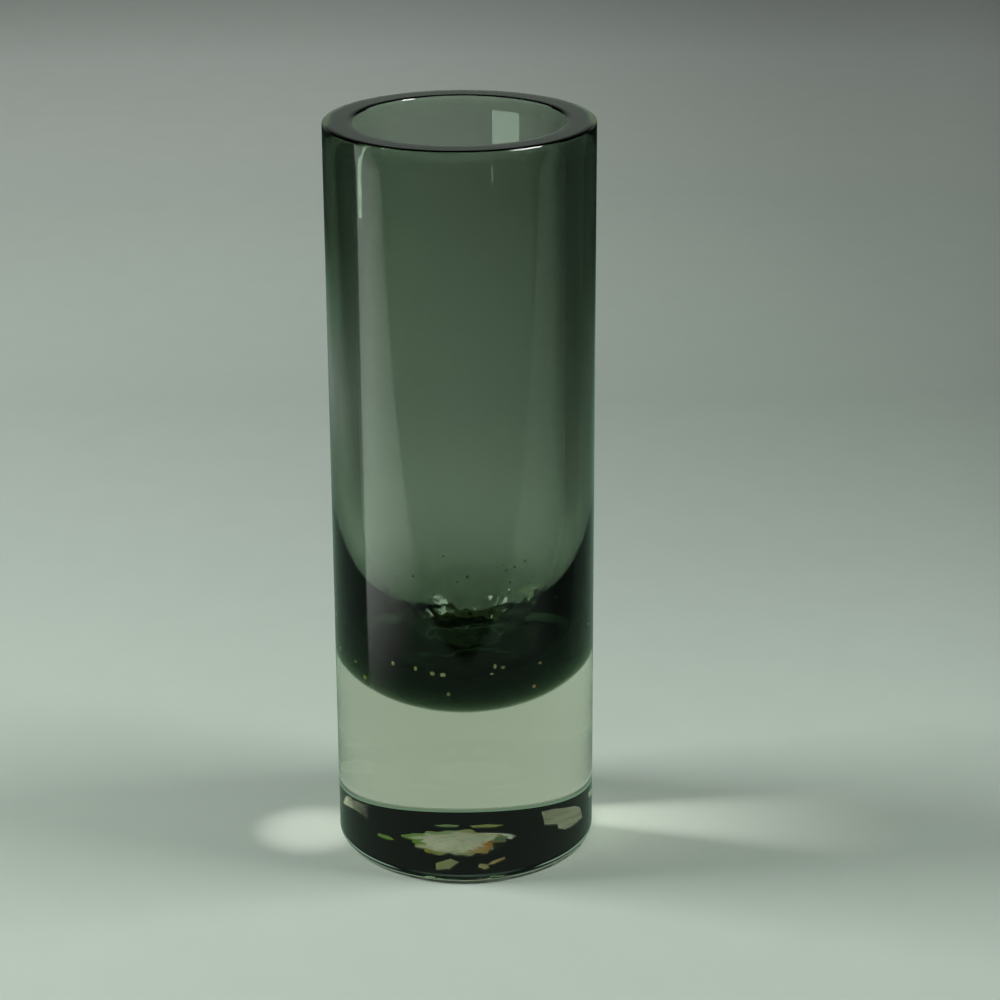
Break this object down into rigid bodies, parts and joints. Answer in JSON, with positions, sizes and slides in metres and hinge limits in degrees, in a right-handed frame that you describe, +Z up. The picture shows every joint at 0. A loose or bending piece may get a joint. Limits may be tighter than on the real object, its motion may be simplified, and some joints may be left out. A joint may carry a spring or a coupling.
{
  "type": "glass cylinder vase",
  "caption": "Straight cylinder vase of cased glass: a smoke grey-green cup inside clear glass, with a flat ground rim and a heavy clear foot.",
  "frame": {"origin": "centre of the foot, on the plane that the vase stands on", "axes": "+Z up along the vase's axis; +X and +Y across the foot, with the label remnant between +X and +Y"},
  "size_m": [0.063, 0.063, 0.18],
  "materials": {
    "smoke_glass": "polished, transparent grey-green",
    "clear_glass": "polished, transparent, faint green",
    "label_paper": "matte paper"
  },
  "bodies": {
    "root": {"smoke_liner": "smoke_glass", "clear_casing": "clear_glass", "label_remnant": "label_paper"}
  },
  "joints": []
}
